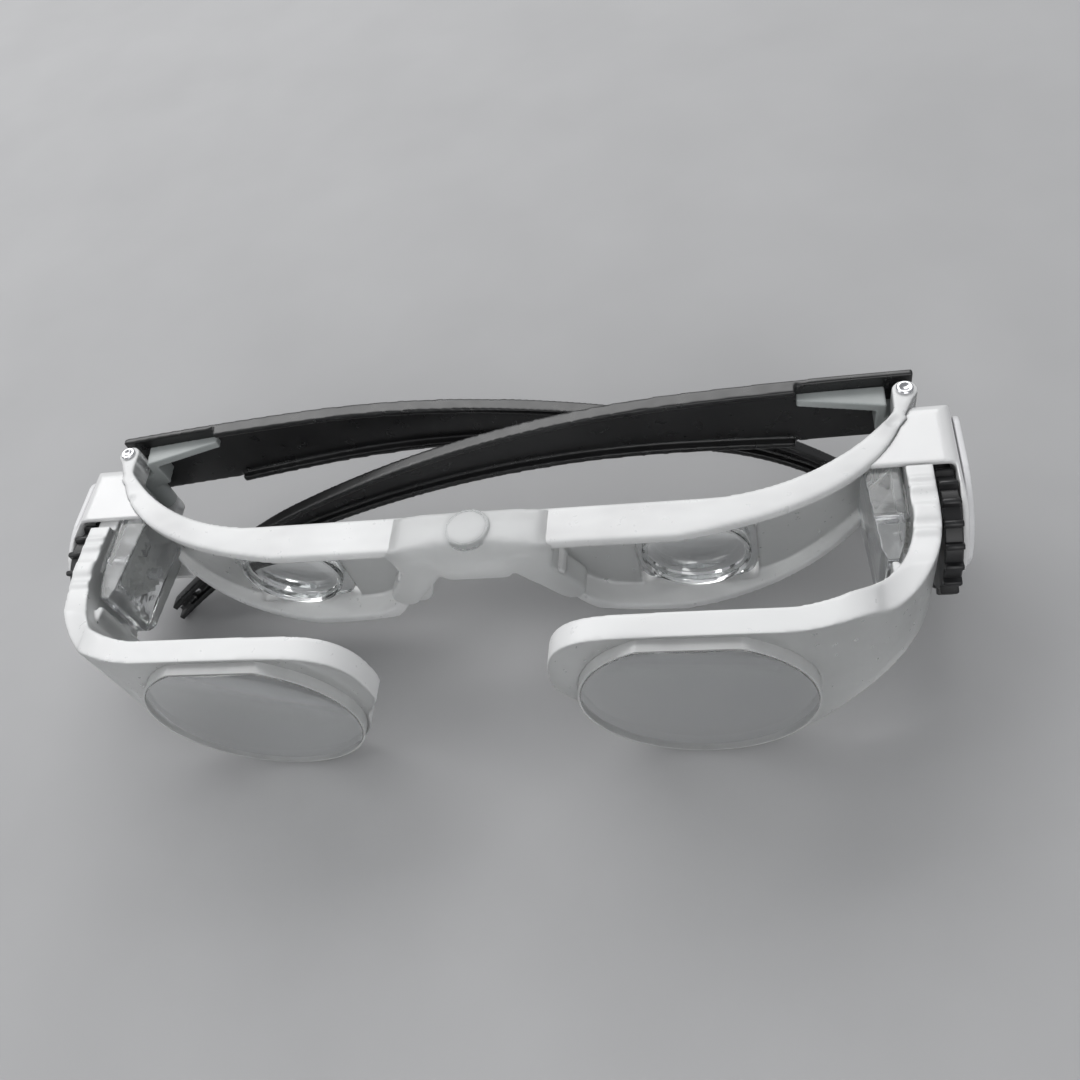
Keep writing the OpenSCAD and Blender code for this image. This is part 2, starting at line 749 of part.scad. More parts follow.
module hinge_insert(side, fold) {
  low = lower_ear[1] + ear_gap;
  high = upper_ear[0] - ear_gap;
  color([0.55, 0.56, 0.56]) place() at_hinge(side, fold) difference() {
    union() {
      translate([0, 0, low]) cylinder(h = high - low, r = knuckle_r);
      slab(high - 2 * leaf_t, high) leaf_plan(0, leaf_from + leaf_t);
      // Step up to the thin leaf in the temple's slot
      slab(high - 2 * leaf_t, leaf_top) leaf_plan(leaf_from, leaf_from + leaf_t);
      slab(leaf_top - leaf_t, leaf_top) leaf_plan(leaf_from, slot_end - 0.6);
    }
    translate([0, 0, low - 1]) cylinder(h = high - low + 2, d = hinge_pin_d + 2 * running_gap);
  }
}

module hinge_pin(side) {
  color([0.8, 0.8, 0.82]) place() on_side(side) translate([hinge_x, hinge_y, lower_ear[0]]) union() {
    cylinder(h = upper_ear[1] - lower_ear[0], d = hinge_pin_d);
    translate([0, 0, upper_ear[1] - lower_ear[0]]) cylinder(h = 0.5, r = 1.2);
  }
}

front_frame();
nose_saddle();
cover_screws();
ocular_lens(left);  // left_ocular_lens
ocular_lens(right);  // right_ocular_lens
slide_guide(left);  // left_slide_guide
slide_guide(right);  // right_slide_guide
side_cover(left);  // left_side_cover
side_cover(right);  // right_side_cover
badge_plate(left);  // left_badge_plate
badge_plate(right);  // right_badge_plate
wheel_axle(left);  // left_wheel_axle
wheel_axle(right);  // right_wheel_axle
hinge_pin(left);  // left_hinge_pin
hinge_pin(right);  // right_hinge_pin
lens_arm(left, left_out);  // left_lens_arm
lens_arm(right, right_out);  // right_lens_arm
focus_rack(left, left_out);  // left_focus_rack
focus_rack(right, right_out);  // right_focus_rack
objective_lens(left, left_out);  // left_objective_lens
objective_lens(right, right_out);  // right_objective_lens
focus_wheel(left);  // left_focus_wheel
focus_wheel(right);  // right_focus_wheel
focus_pinion(left, left_out);  // left_focus_pinion
focus_pinion(right, right_out);  // right_focus_pinion
temple(left, left_fold);  // left_temple
temple(right, right_fold);  // right_temple
hinge_insert(left, left_fold);  // left_hinge_insert
hinge_insert(right, right_fold);  // right_hinge_insert
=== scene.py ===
"""Looks of the spectacle magnifier: frosted spectacle frame, lens arms, focus wheels and folded temples."""

import math
from functools import partial

import bmesh
import bpy
from mathutils import Matrix, Vector


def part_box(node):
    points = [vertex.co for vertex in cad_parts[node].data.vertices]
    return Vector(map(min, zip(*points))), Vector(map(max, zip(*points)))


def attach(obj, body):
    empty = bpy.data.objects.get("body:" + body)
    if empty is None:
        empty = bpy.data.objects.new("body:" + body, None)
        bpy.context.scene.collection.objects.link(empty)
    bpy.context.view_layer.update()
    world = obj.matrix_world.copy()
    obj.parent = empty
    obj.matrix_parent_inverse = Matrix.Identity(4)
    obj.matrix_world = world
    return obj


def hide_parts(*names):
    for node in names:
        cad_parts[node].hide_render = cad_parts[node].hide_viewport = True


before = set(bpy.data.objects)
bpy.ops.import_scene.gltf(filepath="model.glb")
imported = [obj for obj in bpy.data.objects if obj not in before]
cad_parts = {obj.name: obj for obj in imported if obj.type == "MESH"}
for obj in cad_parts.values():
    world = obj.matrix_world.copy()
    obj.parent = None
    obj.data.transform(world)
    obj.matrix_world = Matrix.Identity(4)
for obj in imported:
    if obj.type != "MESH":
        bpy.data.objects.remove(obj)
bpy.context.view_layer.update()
MM = 0.001
SIDES = {"left": -1, "right": 1}

# The camera fitted to the photo: its angles in degrees, its place in the drawing, and its focal length and the
# photo's width in pixels
ELEVATION, HEADING, ROLL = 53.0, 21.3, -20.6
CAMERA_PLACE = (41.7, -81.1, 122.2)
FOCAL_LENGTH, PHOTO_WIDTH = 996, 1080
SENSOR_WIDTH = 36

# Where the drawing's own planes lie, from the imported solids
AXIS_Z = (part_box("right_wheel_axle")[0].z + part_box("right_wheel_axle")[1].z) / 2 / MM
HINGE_X, HINGE_BACK = 62.5, 20.3
WALL_Y = (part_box("right_hinge_pin")[0].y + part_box("right_hinge_pin")[1].y) / 2 / MM - HINGE_BACK
# How far each front lens is run out, and how far each temple is turned, in the shown state
RUN_OUT = {"left": 1.3, "right": 0.0}
FOLD = {"left": 6.5, "right": 0.0}

# Half the width of the flat front of a lens arm, and the middle and radius of the frame's backward curve, which place
# the painted edge highlight
FLAT_PART = 50
CURVE_X, CURVE_Y, CURVE_RADIUS = 33.4, 37.8, 37.1

# From the drawing, in millimetres about the optical axes and the frame's wall, to its place
DRAWN = Matrix.Translation((0, WALL_Y * MM, AXIS_Z * MM)) @ Matrix.Scale(MM, 4)
# Turn an upright axis to lie across the face or along the line of sight
ACROSS = Matrix(((0, 0, 1, 0), (1, 0, 0, 0), (0, 1, 0, 0), (0, 0, 0, 1)))
ALONG = Matrix(((1, 0, 0, 0), (0, 0, 1, 0), (0, 1, 0, 0), (0, 0, 0, 1)))

# On a moulded shell only edges sharper than this many degrees stay sharp
MOULDED = 60
# Bumps a metre and height in metres of the fine grain of moulded plastic
GRAIN, GRAIN_DEPTH = 1500, 0.00001


# Camera, at the place that the photograph was taken from


def set_camera():
    elevation, heading, roll = (math.radians(a) for a in (ELEVATION, HEADING, ROLL))
    level = Matrix(((1, 0, 0), (0, 0, -1), (0, 1, 0)))
    turn = Matrix(((math.cos(heading), math.sin(heading), 0), (-math.sin(heading), math.cos(heading), 0), (0, 0, 1)))
    view = Matrix.Rotation(roll, 3, "Z") @ Matrix.Rotation(elevation, 3, "X") @ level @ turn
    x, y, z = CAMERA_PLACE
    place = Vector((x, y + WALL_Y, z + AXIS_Z)) * MM
    camera = bpy.data.objects.new("photo_camera", bpy.data.cameras.new("photo_camera"))
    bpy.context.scene.collection.objects.link(camera)
    back = Matrix((view[0], -view[1], -view[2])).transposed()
    camera.matrix_world = Matrix.Translation(place) @ back.to_4x4()
    camera.data.sensor_width = SENSOR_WIDTH
    camera.data.lens = FOCAL_LENGTH / PHOTO_WIDTH * SENSOR_WIDTH
    camera.data.clip_start = 0.005
    bpy.context.scene.camera = camera


set_camera()


# Node trees


def feed(tree, value, socket):
    """Sets a socket to a number, or links another socket to it."""
    if isinstance(value, (int, float)):
        socket.default_value = value
    else:
        tree.links.new(value, socket)


def formula(tree, operation, *values):
    """One Math node, with numbers set on it and sockets linked to it."""
    node = tree.nodes.new("ShaderNodeMath")
    node.operation = operation
    for socket, value in zip(node.inputs, values):
        feed(tree, value, socket)
    return node.outputs[0]


def between(tree, value, low, high, start=0.3, end=0.7):
    """Maps a value that runs from a start to an end, as a noise does, to a range, and holds it there beyond."""
    node = tree.nodes.new("ShaderNodeMapRange")
    labels = ("Value", "From Min", "From Max", "To Min", "To Max")
    for label, given in zip(labels, (value, start, end, low, high)):
        feed(tree, given, node.inputs[label])
    return node.outputs["Result"]


def split(tree, vector):
    """The X, Y and Z of a vector."""
    parts = tree.nodes.new("ShaderNodeSeparateXYZ")
    tree.links.new(vector, parts.inputs["Vector"])
    return parts.outputs


def coordinate(tree, kind):
    """The place or the normal of a point on its object."""
    return tree.nodes.new("ShaderNodeTexCoord").outputs[kind]


# Materials


def new_material(name):
    material = bpy.data.materials.new(name)
    material.use_nodes = True
    return material, material.node_tree, material.node_tree.nodes["Principled BSDF"]


def set_inputs(node, values):
    for label, value in values.items():
        node.inputs[label].default_value = value


def noise(tree, scale, detail=3.0, stretch=(1, 1, 1)):
    """Noise on object coordinates; scale is in bumps per metre."""
    mapping = tree.nodes.new("ShaderNodeMapping")
    mapping.inputs["Scale"].default_value = stretch
    texture = tree.nodes.new("ShaderNodeTexNoise")
    set_inputs(texture, {"Scale": scale, "Detail": detail})
    tree.links.new(coordinate(tree, "Object"), mapping.inputs["Vector"])
    tree.links.new(mapping.outputs["Vector"], texture.inputs["Vector"])
    return texture.outputs["Fac"]


def shades(tree, value, dark, light):
    """Blends two colours by a noise value."""
    ramp = tree.nodes.new("ShaderNodeValToRGB")
    for element, position, colour in zip(ramp.color_ramp.elements, (0.3, 0.7), (dark, light)):
        element.position = position
        element.color = (*colour, 1)
    tree.links.new(value, ramp.inputs["Fac"])
    return ramp.outputs["Color"]


def blend(tree, weight, a, b):
    """Mixes two colours by a weight."""
    node = tree.nodes.new("ShaderNodeMix")
    node.data_type = "RGBA"
    # A Mix node's sockets 0, 6 and 7 are its weight and its two colours
    for socket, value in ((0, weight), (6, a), (7, b)):
        tree.links.new(value, node.inputs[socket])
    return node.outputs[2]


def colour(tree, shader, scale, dark, light):
    """Gives the surface two close shades in patches."""
    tree.links.new(shades(tree, noise(tree, scale), dark, light), shader.inputs["Base Color"])


def roughen(tree, shader, scale, smooth, rough, **shape):
    """Gives the surface a roughness that changes in patches."""
    tree.links.new(between(tree, noise(tree, scale, **shape), smooth, rough), shader.inputs["Roughness"])


def bumps(tree, shader, value, depth, strength):
    node = tree.nodes.new("ShaderNodeBump")
    set_inputs(node, {"Distance": depth, "Strength": strength})
    tree.links.new(value, node.inputs["Height"])
    tree.links.new(node.outputs["Normal"], shader.inputs["Normal"])


def levelness(tree):
    """How level a surface lies, from 0 on an upright wall to 1 on a top edge, and the parts of its normal."""
    normal = split(tree, coordinate(tree, "Normal"))
    return between(tree, formula(tree, "ABSOLUTE", normal["Z"]), 0, 1, 0.3, 0.8), normal


def painted_edge_highlight(tree, rims):
    """Mask of a painted highlight: level edges, the sides of the flat parts and, if asked, the frame's rims are painted
    lighter, as if they gathered light.
    """
    absolute, highest = partial(formula, tree, "ABSOLUTE"), partial(formula, tree, "MAXIMUM")
    multiply, subtract = partial(formula, tree, "MULTIPLY"), partial(formula, tree, "SUBTRACT")
    level, normal = levelness(tree)
    place = split(tree, coordinate(tree, "Object"))
    out = absolute(place["X"])
    sideways = between(tree, absolute(normal["Y"]), 1, 0, 0.3, 0.7)
    flat = between(tree, out, 1, 0, FLAT_PART * MM, (FLAT_PART + 6) * MM)
    highlight_mask = highest(level, multiply(sideways, flat))
    if rims:
        # The rims stand out past the backward curve of the wall and get the painted highlight
        beyond = highest(subtract(out, CURVE_X * MM), 0)
        back = subtract(place["Y"], (CURVE_Y + WALL_Y) * MM)
        distance = formula(tree, "SQRT", formula(tree, "ADD", multiply(beyond, beyond), multiply(back, back)))
        highlight_mask = highest(highlight_mask, between(tree, distance, 0, 1, CURVE_RADIUS * MM, (CURVE_RADIUS + 1.2) * MM))
    return highlight_mask


def frosted_plastic(name, rims, dimmest_highlight):
    """Etched clear acrylic, half see-through face on, with a painted highlight: its edges are painted milky white and
    made less see-through, in dimmer patches on the frame.
    """
    material, tree, shader = new_material(name)
    highlight_mask = painted_edge_highlight(tree, rims)
    # Painted light: walls keep a plain tone, and where the mask is high a whiter painted highlight tone is laid on and
    # the plastic is made less see-through
    wall = shades(tree, noise(tree, 90), (0.82, 0.83, 0.825), (0.90, 0.91, 0.905))
    edge = shades(tree, noise(tree, 150, 2.0, (0.5, 1, 1)), (dimmest_highlight, dimmest_highlight, dimmest_highlight), (0.975, 0.98, 0.975))
    tree.links.new(blend(tree, highlight_mask, wall, edge), shader.inputs["Base Color"])
    tree.links.new(between(tree, highlight_mask, 0.76, 0.1, 0, 1), shader.inputs["Transmission Weight"])
    roughen(tree, shader, 700, 0.27, 0.37)
    set_inputs(shader, {"IOR": 1.46})
    bumps(tree, shader, noise(tree, GRAIN, 2.0), GRAIN_DEPTH, 0.4)
    return material


def ground_edge():
    """Ground side of a front lens, fine and white."""
    material, tree, shader = new_material("ground_edge")
    colour(tree, shader, 300, (0.88, 0.885, 0.88), (0.96, 0.965, 0.96))
    roughen(tree, shader, 900, 0.35, 0.5)
    set_inputs(shader, {"Transmission Weight": 0.45})
    bumps(tree, shader, noise(tree, GRAIN, 2.0), GRAIN_DEPTH, 0.4)
    return material


def clear_plastic():
    """Polished clear acrylic with faint flow marks."""
    material, tree, shader = new_material("clear_acrylic")
    colour(tree, shader, 200, (0.90, 0.92, 0.92), (0.97, 0.98, 0.98))
    roughen(tree, shader, 300, 0.04, 0.14)
    set_inputs(shader, {"IOR": 1.49, "Transmission Weight": 0.9})
    bumps(tree, shader, noise(tree, 260, 2.0, (1, 1, 3)), 0.0002, 0.35)
    return material


def lens_plastic():
    """Optical acrylic, polished."""
    material, tree, shader = new_material("lens_acrylic")
    colour(tree, shader, 40, (0.96, 0.98, 0.98), (0.99, 1.0, 1.0))
    roughen(tree, shader, 60, 0.0, 0.015)
    set_inputs(shader, {"IOR": 1.49, "Transmission Weight": 1.0})
    return material


def milky_silicone():
    """Soft milky silicone, a little see-through where it is thin, with painted light: its level tops are painted
    lighter than its sides.
    """
    material, tree, shader = new_material("milky_silicone")
    level, _ = levelness(tree)
    # Painted light: a darker tone for the sides and a lighter one for the tops, blended by how level the surface lies
    side = shades(tree, noise(tree, 160), (0.86, 0.87, 0.865), (0.91, 0.92, 0.915))
    top = shades(tree, noise(tree, 160), (0.90, 0.91, 0.905), (0.95, 0.96, 0.955))
    tree.links.new(blend(tree, level, side, top), shader.inputs["Base Color"])
    roughen(tree, shader, 500, 0.3, 0.42)
    set_inputs(shader, {"IOR": 1.41, "Transmission Weight": 0.35, "Subsurface Weight": 0.5,
                        "Subsurface Radius": (0.002, 0.002, 0.002), "Subsurface Scale": 1.0})
    bumps(tree, shader, noise(tree, 1200, 2.0), GRAIN_DEPTH, 0.4)
    return material


def plastic(name, dark, light, smooth, rough, coat=0.0, gloss=0.5):
    """Moulded opaque plastic with a fine grain."""
    material, tree, shader = new_material(name)
    colour(tree, shader, 120, dark, light)
    roughen(tree, shader, 400, smooth, rough)
    set_inputs(shader, {"Specular IOR Level": gloss, "Coat Weight": coat, "Coat Roughness": 0.08})
    bumps(tree, shader, noise(tree, GRAIN, 2.0), GRAIN_DEPTH, 0.5)
    return material


def bright_steel():
    """Turned steel, with fine rings round the pins."""
    material, tree, shader = new_material("bright_steel")
    colour(tree, shader, 300, (0.62, 0.62, 0.64), (0.74, 0.74, 0.76))
    roughen(tree, shader, 900, 0.18, 0.3, detail=2.0, stretch=(1, 1, 12))
    set_inputs(shader, {"Metallic": 1.0})
    return material


# The last number is the dimmest shade of the painted edge highlight
FROSTED = frosted_plastic("frosted_acrylic", False, 0.93)
FRAME = frosted_plastic("frosted_frame", True, 0.80)
GROUND = ground_edge()
CLEAR = clear_plastic()
LENS = lens_plastic()
SILICONE = milky_silicone()
COVER = plastic("white_cover", (0.80, 0.80, 0.80), (0.84, 0.84, 0.84), 0.16, 0.24, coat=0.3)
PLATE = plastic("white_plate", (0.76, 0.76, 0.77), (0.81, 0.81, 0.82), 0.28, 0.38)
WHEEL = plastic("black_wheel", (0.012, 0.012, 0.013), (0.022, 0.022, 0.023), 0.3, 0.42)
TEMPLE = plastic("black_temple", (0.006, 0.006, 0.0065), (0.012, 0.012, 0.0125), 0.26, 0.34, gloss=0.7)
INSERT = plastic("grey_insert", (0.36, 0.385, 0.38), (0.45, 0.475, 0.47), 0.3, 0.42)
DRIVE = plastic("natural_drive", (0.68, 0.68, 0.66), (0.76, 0.76, 0.74), 0.3, 0.45)
STEEL = bright_steel()


# Meshes


def add_object(name, data):
    thing = bpy.data.objects.new(name, data)
    bpy.context.scene.collection.objects.link(thing)
    return thing


def finish_piece(mesh, name, body, material, nodes, angle):
    """Makes the object of a mesh that is already in place, with edges sharper than the angle kept sharp."""
    mesh.name = name
    mesh.materials.clear()
    mesh.materials.append(material)
    mesh.shade_smooth()
    mesh.set_sharp_from_angle(angle=math.radians(angle))
    piece = add_object(name, mesh)
    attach(piece, body)
    if nodes:
        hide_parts(*nodes)


def from_bmesh(bm, name):
    mesh = bpy.data.meshes.new(name)
    bm.to_mesh(mesh)
    bm.free()
    return mesh


def drawn(x, y, z):
    """A point of the drawing in its place."""
    return DRAWN @ Vector((x, y, z))


def drawn_box(node):
    """Lowest and highest corner of a CAD node in the drawing."""
    back = DRAWN.inverted()
    return tuple(back @ Vector(corner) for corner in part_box(node))


def solid_copy(node):
    """A welded copy of a CAD node's mesh."""
    bm = bmesh.new()
    bm.from_mesh(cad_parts[node].data)
    bmesh.ops.remove_doubles(bm, verts=bm.verts, dist=1e-6)
    return bm


def baked(source):
    """Turns an object with modifiers into its plain mesh, and removes the object."""
    bpy.context.view_layer.update()
    mesh = bpy.data.meshes.new_from_object(source.evaluated_get(bpy.context.evaluated_depsgraph_get()))
    bpy.data.objects.remove(source)
    return mesh


def moulded(bm, name, voxel, rounds):
    """A shell with softly rounded edges, as a mould leaves them, made from overlapping or sharp solids."""
    source = add_object(name, from_bmesh(bm, name))
    remesh = source.modifiers.new("shell", "REMESH")
    remesh.mode = "VOXEL"
    remesh.voxel_size = voxel * MM
    smooth = source.modifiers.new("rounds", "SMOOTH")
    smooth.factor = 0.5
    smooth.iterations = rounds
    return baked(source)


def bored(mesh, bore):
    """The mesh with a bore taken out of it."""
    solid, tool = add_object("solid", mesh), add_object("bore", bore)
    cut = solid.modifiers.new("bore", "BOOLEAN")
    cut.operation = "DIFFERENCE"
    cut.solver = "EXACT"
    cut.object = tool
    result = baked(solid)
    bpy.data.objects.remove(tool)
    return result


def join_loops(bm, a, b):
    """Faces between two closed loops of points, three-sided where a loop has shrunk to one point."""
    count = len(a)
    for i in range(count):
        j = (i + 1) % count
        corners = list(dict.fromkeys((a[i], a[j], b[j], b[i])))
        if len(corners) > 2:
            bm.faces.new(corners)


def turned(profile, place, steps):
    """Turns a profile of (radius, height) about an upright axis and puts it in its place."""
    bm = bmesh.new()
    on_axis = 1e-6
    angles = [2 * math.pi * i / steps for i in range(steps)]
    rings = []
    for radius, height in profile:
        if radius < on_axis:
            rings.append([bm.verts.new(place @ Vector((0, 0, height)))] * steps)
            continue
        points = [Vector((radius * math.cos(a), radius * math.sin(a), height)) for a in angles]
        rings.append([bm.verts.new(place @ point) for point in points])
    pairs = list(zip(rings, rings[1:]))
    if profile[0][0] > on_axis:
        pairs.append((rings[-1], rings[0]))
    for a, b in pairs:
        join_loops(bm, a, b)
    bmesh.ops.recalc_face_normals(bm, faces=bm.faces)
    return bm


def add_block(bm, low, high):
    """Adds a closed block between two corners of the drawing."""
    xs, ys, zs = zip(low, high)
    v = [bm.verts.new(drawn(x, y, z)) for z in zs for y in ys for x in xs]
    for corners in ((0, 2, 3, 1), (4, 5, 7, 6), (0, 1, 5, 4), (2, 6, 7, 3), (0, 4, 6, 2), (1, 3, 7, 5)):
        bm.faces.new([v[i] for i in corners])


def dent(mesh, x, y, height, radius, depth):
    """Presses a shallow round dimple into an upper face."""
    centre = drawn(x, y, height)
    for vertex in mesh.vertices:
        if abs(vertex.co.z - centre.z) < 0.4 * MM:
            near = math.hypot(vertex.co.x - centre.x, vertex.co.y - centre.y) / MM / radius
            if near < 1:
                vertex.co.z -= depth * MM * (1 - near * near) ** 2


# Front frame and nose saddle


def make_frame():
    mesh = moulded(solid_copy("front_frame"), "front_frame_shell", 0.3, 8)
    # Round marks on the hinge lugs
    lug_top = 10
    dent(mesh, 60.2, 14.5, lug_top, 1.3, 0.5)
    dent(mesh, -58.8, 10.6, lug_top, 1.0, 0.4)
    finish_piece(mesh, "front_frame_shell", "front", FRAME, ["front_frame"], MOULDED)


def make_saddle():
    mesh = moulded(solid_copy("nose_saddle"), "saddle", 0.25, 30)
    finish_piece(mesh, "saddle", "front", SILICONE, ["nose_saddle"], MOULDED)
    # Clear stud on the bridge, with a raised rim and a shallow dish
    top = drawn_box("nose_saddle")[1].z
    radius, foot = 3.4, top - 1.1
    profile = [(0, foot), (radius, foot), (radius, top - 0.35), (3.25, top - 0.08), (3.0, top), (2.75, top - 0.06),
               (2.5, top - 0.2), (1.6, top - 0.34), (0, top - 0.4)]
    stud = turned(profile, DRAWN @ Matrix.Translation((0.2, -0.1, 0)), 96)
    finish_piece(from_bmesh(stud, "stud"), "bridge_stud", "front", CLEAR, (), 40)


# Lenses


def dome(radius, height, count):
    """Points of a shallow dome from its rim to its middle, as (radius, rise)."""
    curve = (radius * radius + height * height) / (2 * height)
    points = []
    for i in range(count + 1):
        r = radius * (1 - i / count)
        points.append((r, math.sqrt(curve * curve - r * r) - (curve - height)))
    return points


def flat_round(radius, flat, count=128):
    """Outline of a round with a flat top, as points of X and Z."""
    points = []
    for i in range(count):
        a = 2 * math.pi * (i + 0.5) / count
        x, z = radius * math.cos(a), radius * math.sin(a)
        points.append((x * flat / z, flat) if z > flat else (x, z))
    return points


def rounded_square(half_width, half_height, count=64):
    """Outline of a square with rounded corners, as points of X and Z."""
    squareness = 0.45
    points = []
    for i in range(count):
        a = 2 * math.pi * i / count
        points.append(tuple(math.copysign(abs(part) ** squareness, part) * half
                            for part, half in ((math.cos(a), half_width), (math.sin(a), half_height))))
    return points


def round_outline(radius, count=64):
    angles = [2 * math.pi * i / count for i in range(count)]
    return [(math.cos(a) * radius, math.sin(a) * radius) for a in angles]


def ring(outer, inner, middle, front, back):
    """A closed ring between two outlines of X and Z, from a front to a back."""
    bm = bmesh.new()
    loops = []
    for y in (front, back):
        for outline in (outer, inner):
            loops.append([bm.verts.new(drawn(middle + x, y, z)) for x, z in outline])
    for a, b in ((0, 1), (1, 3), (3, 2), (2, 0)):
        join_loops(bm, loops[a], loops[b])
    bmesh.ops.recalc_face_normals(bm, faces=bm.faces)
    return bm


def make_objective(side):
    """Front lens: a thick round with a flat top, domed in front, with a ground edge."""
    low, high = drawn_box(f"{side}_objective_lens")
    middle = (low.x + high.x) / 2
    radius = (high.x - low.x) / 2
    rise, bevel, edge = 1.3, 0.2, 0.25
    shoulder = low.y + rise
    clear = radius - edge + 0.02
    profile = [(0, high.y), (clear, high.y), (clear, shoulder + bevel)]
    profile += [(r * (clear - bevel) / clear, shoulder - h) for r, h in dome(clear, rise, 24)]
    bm = turned(profile, DRAWN @ Matrix.Translation((middle, 0, 0)) @ ALONG, 128)
    cut = bmesh.ops.bisect_plane(bm, geom=bm.verts[:] + bm.edges[:] + bm.faces[:], plane_co=drawn(0, 0, high.z - edge),
                                 plane_no=(0, 0, 1), clear_outer=True)
    bmesh.ops.contextual_create(bm, geom=[e for e in cut["geom_cut"] if isinstance(e, bmesh.types.BMEdge)])
    bmesh.ops.recalc_face_normals(bm, faces=bm.faces)
    body = f"{side}_lens_carriage"
    finish_piece(from_bmesh(bm, "objective"), f"{side}_objective", body, LENS, [f"{side}_objective_lens"], 25)
    bm = ring(flat_round(radius, high.z), flat_round(radius - edge, high.z - edge), middle, shoulder + 0.1, high.y)
    finish_piece(from_bmesh(bm, "objective_edge"), f"{side}_objective_edge", body, GROUND, (), 30)


def make_ocular(side):
    """Eye lens: a deep dish in front and a shallow one behind, in a clear plate with rounded corners."""
    low, high = drawn_box(f"{side}_ocular_lens")
    middle = (low.x + high.x) / 2
    front, back = low.y, high.y
    radius = (high.z - low.z) / 2 - 0.05
    bevel, front_dish, back_dish = 0.12, 1.05, 0.25
    profile = [(0, front + 0.2 + front_dish)]
    profile += [(r, front + 0.2 + h) for r, h in reversed(dome(radius - 0.75, front_dish, 24)[:-1])]
    profile += [(radius - 0.55, front + 0.04), (radius - 0.4, front), (radius - bevel, front), (radius, front + bevel),
                (radius, back - bevel), (radius - bevel, back)]
    profile += [(r, back - h) for r, h in dome(radius - 0.9, back_dish, 12)]
    bm = turned(profile, DRAWN @ Matrix.Translation((middle, 0, 0)) @ ALONG, 96)
    finish_piece(from_bmesh(bm, "ocular"), f"{side}_ocular", "front", LENS, [f"{side}_ocular_lens"], 25)
    square = rounded_square((high.x - low.x) / 2 - 0.1, radius - 0.02)
    plate = ring(square, round_outline(radius - 0.04), middle, front + 1.3, back - 1.0)
    finish_piece(from_bmesh(plate, "ocular_plate"), f"{side}_ocular_plate", "front", CLEAR, (), 30)


# Arms, guides and covers


def make_arm(side):
    """Lens holder and arm, with ledges across the bar that carries the rack."""
    bm = solid_copy(f"{side}_lens_arm")
    bottom, top = 9.2, 10.2
    for y, width, inset in ((4.3, 0.5, 0), (2.7, 1.0, 0), (-1.2, 2.4, 0), (-4.3, 0.8, 0.5)):
        ends = sorted((SIDES[side] * (61.1 - inset), SIDES[side] * (64.3 - inset)))
        y -= RUN_OUT[side]
        add_block(bm, (ends[0], y - width / 2, bottom), (ends[1], y + width / 2, top))
    finish_piece(moulded(bm, "arm", 0.25, 9), f"{side}_arm", f"{side}_lens_carriage", FROSTED,
                 [f"{side}_lens_arm"], MOULDED)


def make_shells(side):
    """Pieces whose drawn form is right and only wants the soft edges of a moulding."""
    for node, name, body, material, slot, voxel in (
            ("slide_guide", "guide", "front", CLEAR, "clear_plastic", 0.2),
            ("side_cover", "cover", "front", COVER, "white_cover", 0.2),
            ("badge_plate", "plate", "front", PLATE, "white_plate", 0.15),
            ("hinge_insert", "insert", f"{side}_temple_arm", INSERT, "grey_insert", 0.18)):
        finish_piece(moulded(solid_copy(f"{side}_{node}"), name, voxel, 5), f"{side}_{name}_shell", body, material,
                     [f"{side}_{node}"], MOULDED)


# Shapes by Geometry Nodes


def new_tree(name, **inputs):
    """A Geometry Nodes tree with inputs of the named kinds, and the sockets of its inputs and its output."""
    tree = bpy.data.node_groups.new(name, "GeometryNodeTree")
    tree.interface.new_socket("Geometry", in_out="OUTPUT", socket_type="NodeSocketGeometry")
    for kind, labels in inputs.items():
        for label in labels:
            tree.interface.new_socket(label, in_out="INPUT", socket_type=f"NodeSocket{kind}")
    return tree, tree.nodes.new("NodeGroupInput").outputs, tree.nodes.new("NodeGroupOutput").inputs[0]


def end_tree(tree, geometry, material, output):
    """Ends a tree in Realize Instances and Set Material."""
    realize = tree.nodes.new("GeometryNodeRealizeInstances")
    paint = tree.nodes.new("GeometryNodeSetMaterial")
    paint.inputs["Material"].default_value = material
    tree.links.new(geometry, realize.inputs["Geometry"])
    tree.links.new(realize.outputs["Geometry"], paint.inputs["Geometry"])
    tree.links.new(paint.outputs["Geometry"], output)


def run_tree(tree, values, name, wall=0.0):
    """Runs a Geometry Nodes tree with the named values and returns its plain mesh, with a wall if one is given."""
    holder = add_object(name, bpy.data.meshes.new(name))
    modifier = holder.modifiers.new("shape", "NODES")
    modifier.node_group = tree
    for item in tree.interface.items_tree:
        if item.in_out == "INPUT" and item.name in values:
            modifier[item.identifier] = values[item.name]
    if wall:
        thicken = holder.modifiers.new("wall", "SOLIDIFY")
        thicken.thickness = wall
        thicken.offset = 1
        thicken.use_even_offset = True
    return baked(holder)


# Temples


